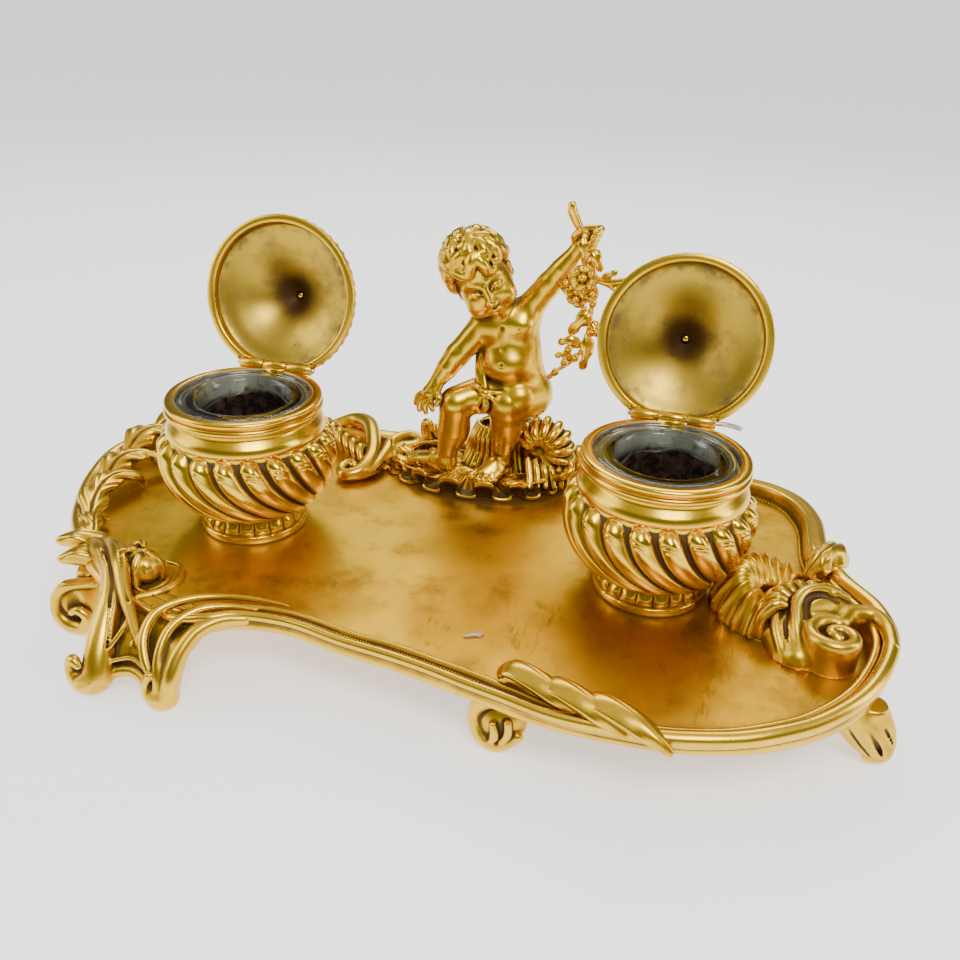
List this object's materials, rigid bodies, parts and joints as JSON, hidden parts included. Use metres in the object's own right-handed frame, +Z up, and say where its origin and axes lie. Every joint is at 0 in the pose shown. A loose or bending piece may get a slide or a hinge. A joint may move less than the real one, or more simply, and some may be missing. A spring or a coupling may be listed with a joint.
{
  "type": "inkstand",
  "caption": "Gilt metal desk stand with hinged-lid glass-lined inkwells on a moulded tray with scrolled feet and a seated cherub holding a garland.",
  "frame": {"origin": "centre of the footprint's bounding box on the plane that the feet stand on", "axes": "+X runs through the wells from left to right as seen from the front, +Y points to the back, +Z is up"},
  "size_m": [0.3376, 0.1934, 0.1513],
  "materials": {
    "gilt_satin": "mercury-gilt bronze, matt satin ground with dark patina in the recesses",
    "gilt_burnished": "mercury-gilt bronze, burnished",
    "well_glass": "clear greenish-grey moulded glass with dried ink inside",
    "fixing_steel": "plain steel fixings, dull"
  },
  "bodies": {
    "stand": {"tray": "gilt_satin", "far_left_foot": "gilt_satin", "far_left_foot_screw": "fixing_steel", "front_left_foot": "gilt_satin", "front_left_foot_screw": "fixing_steel", "middle_foot": "gilt_satin", "middle_foot_screw": "fixing_steel", "right_foot": "gilt_satin", "right_foot_screw": "fixing_steel", "back_left_foot": "gilt_satin", "back_left_foot_screw": "fixing_steel", "back_right_foot": "gilt_satin", "back_right_foot_screw": "fixing_steel", "rocaille_mound": "gilt_satin", "mound_screw_1": "fixing_steel", "mound_screw_2": "fixing_steel", "putto": "gilt_burnished", "putto_stud": "fixing_steel", "putto_nut": "fixing_steel", "garland": "gilt_burnished", "shell_ornament": "gilt_satin", "shell_screw": "fixing_steel", "end_scroll": "gilt_satin", "scroll_screw": "fixing_steel", "left_bowl": "gilt_burnished", "left_collar": "gilt_burnished", "left_glass_liner": "well_glass", "left_hinge_pin": "fixing_steel", "left_bolt": "fixing_steel", "left_washer": "fixing_steel", "left_nut": "fixing_steel", "right_bowl": "gilt_burnished", "right_collar": "gilt_burnished", "right_glass_liner": "well_glass", "right_hinge_pin": "fixing_steel", "right_bolt": "fixing_steel", "right_washer": "fixing_steel", "right_nut": "fixing_steel"},
    "left_lid": {"left_lid": "gilt_satin", "left_finial": "gilt_burnished"},
    "right_lid": {"right_lid": "gilt_satin", "right_finial": "gilt_burnished"}
  },
  "joints": [
    {"name": "left_lid_hinge", "type": "hinge", "parent": "stand", "child": "left_lid", "pos_m": [-0.082, 0.0288, 0.0816], "axis": [1, 0, 0], "range_deg": [0, 105]},
    {"name": "right_lid_hinge", "type": "hinge", "parent": "stand", "child": "right_lid", "pos_m": [0.082, 0.0288, 0.0816], "axis": [1, 0, 0], "range_deg": [0, 105]}
  ]
}
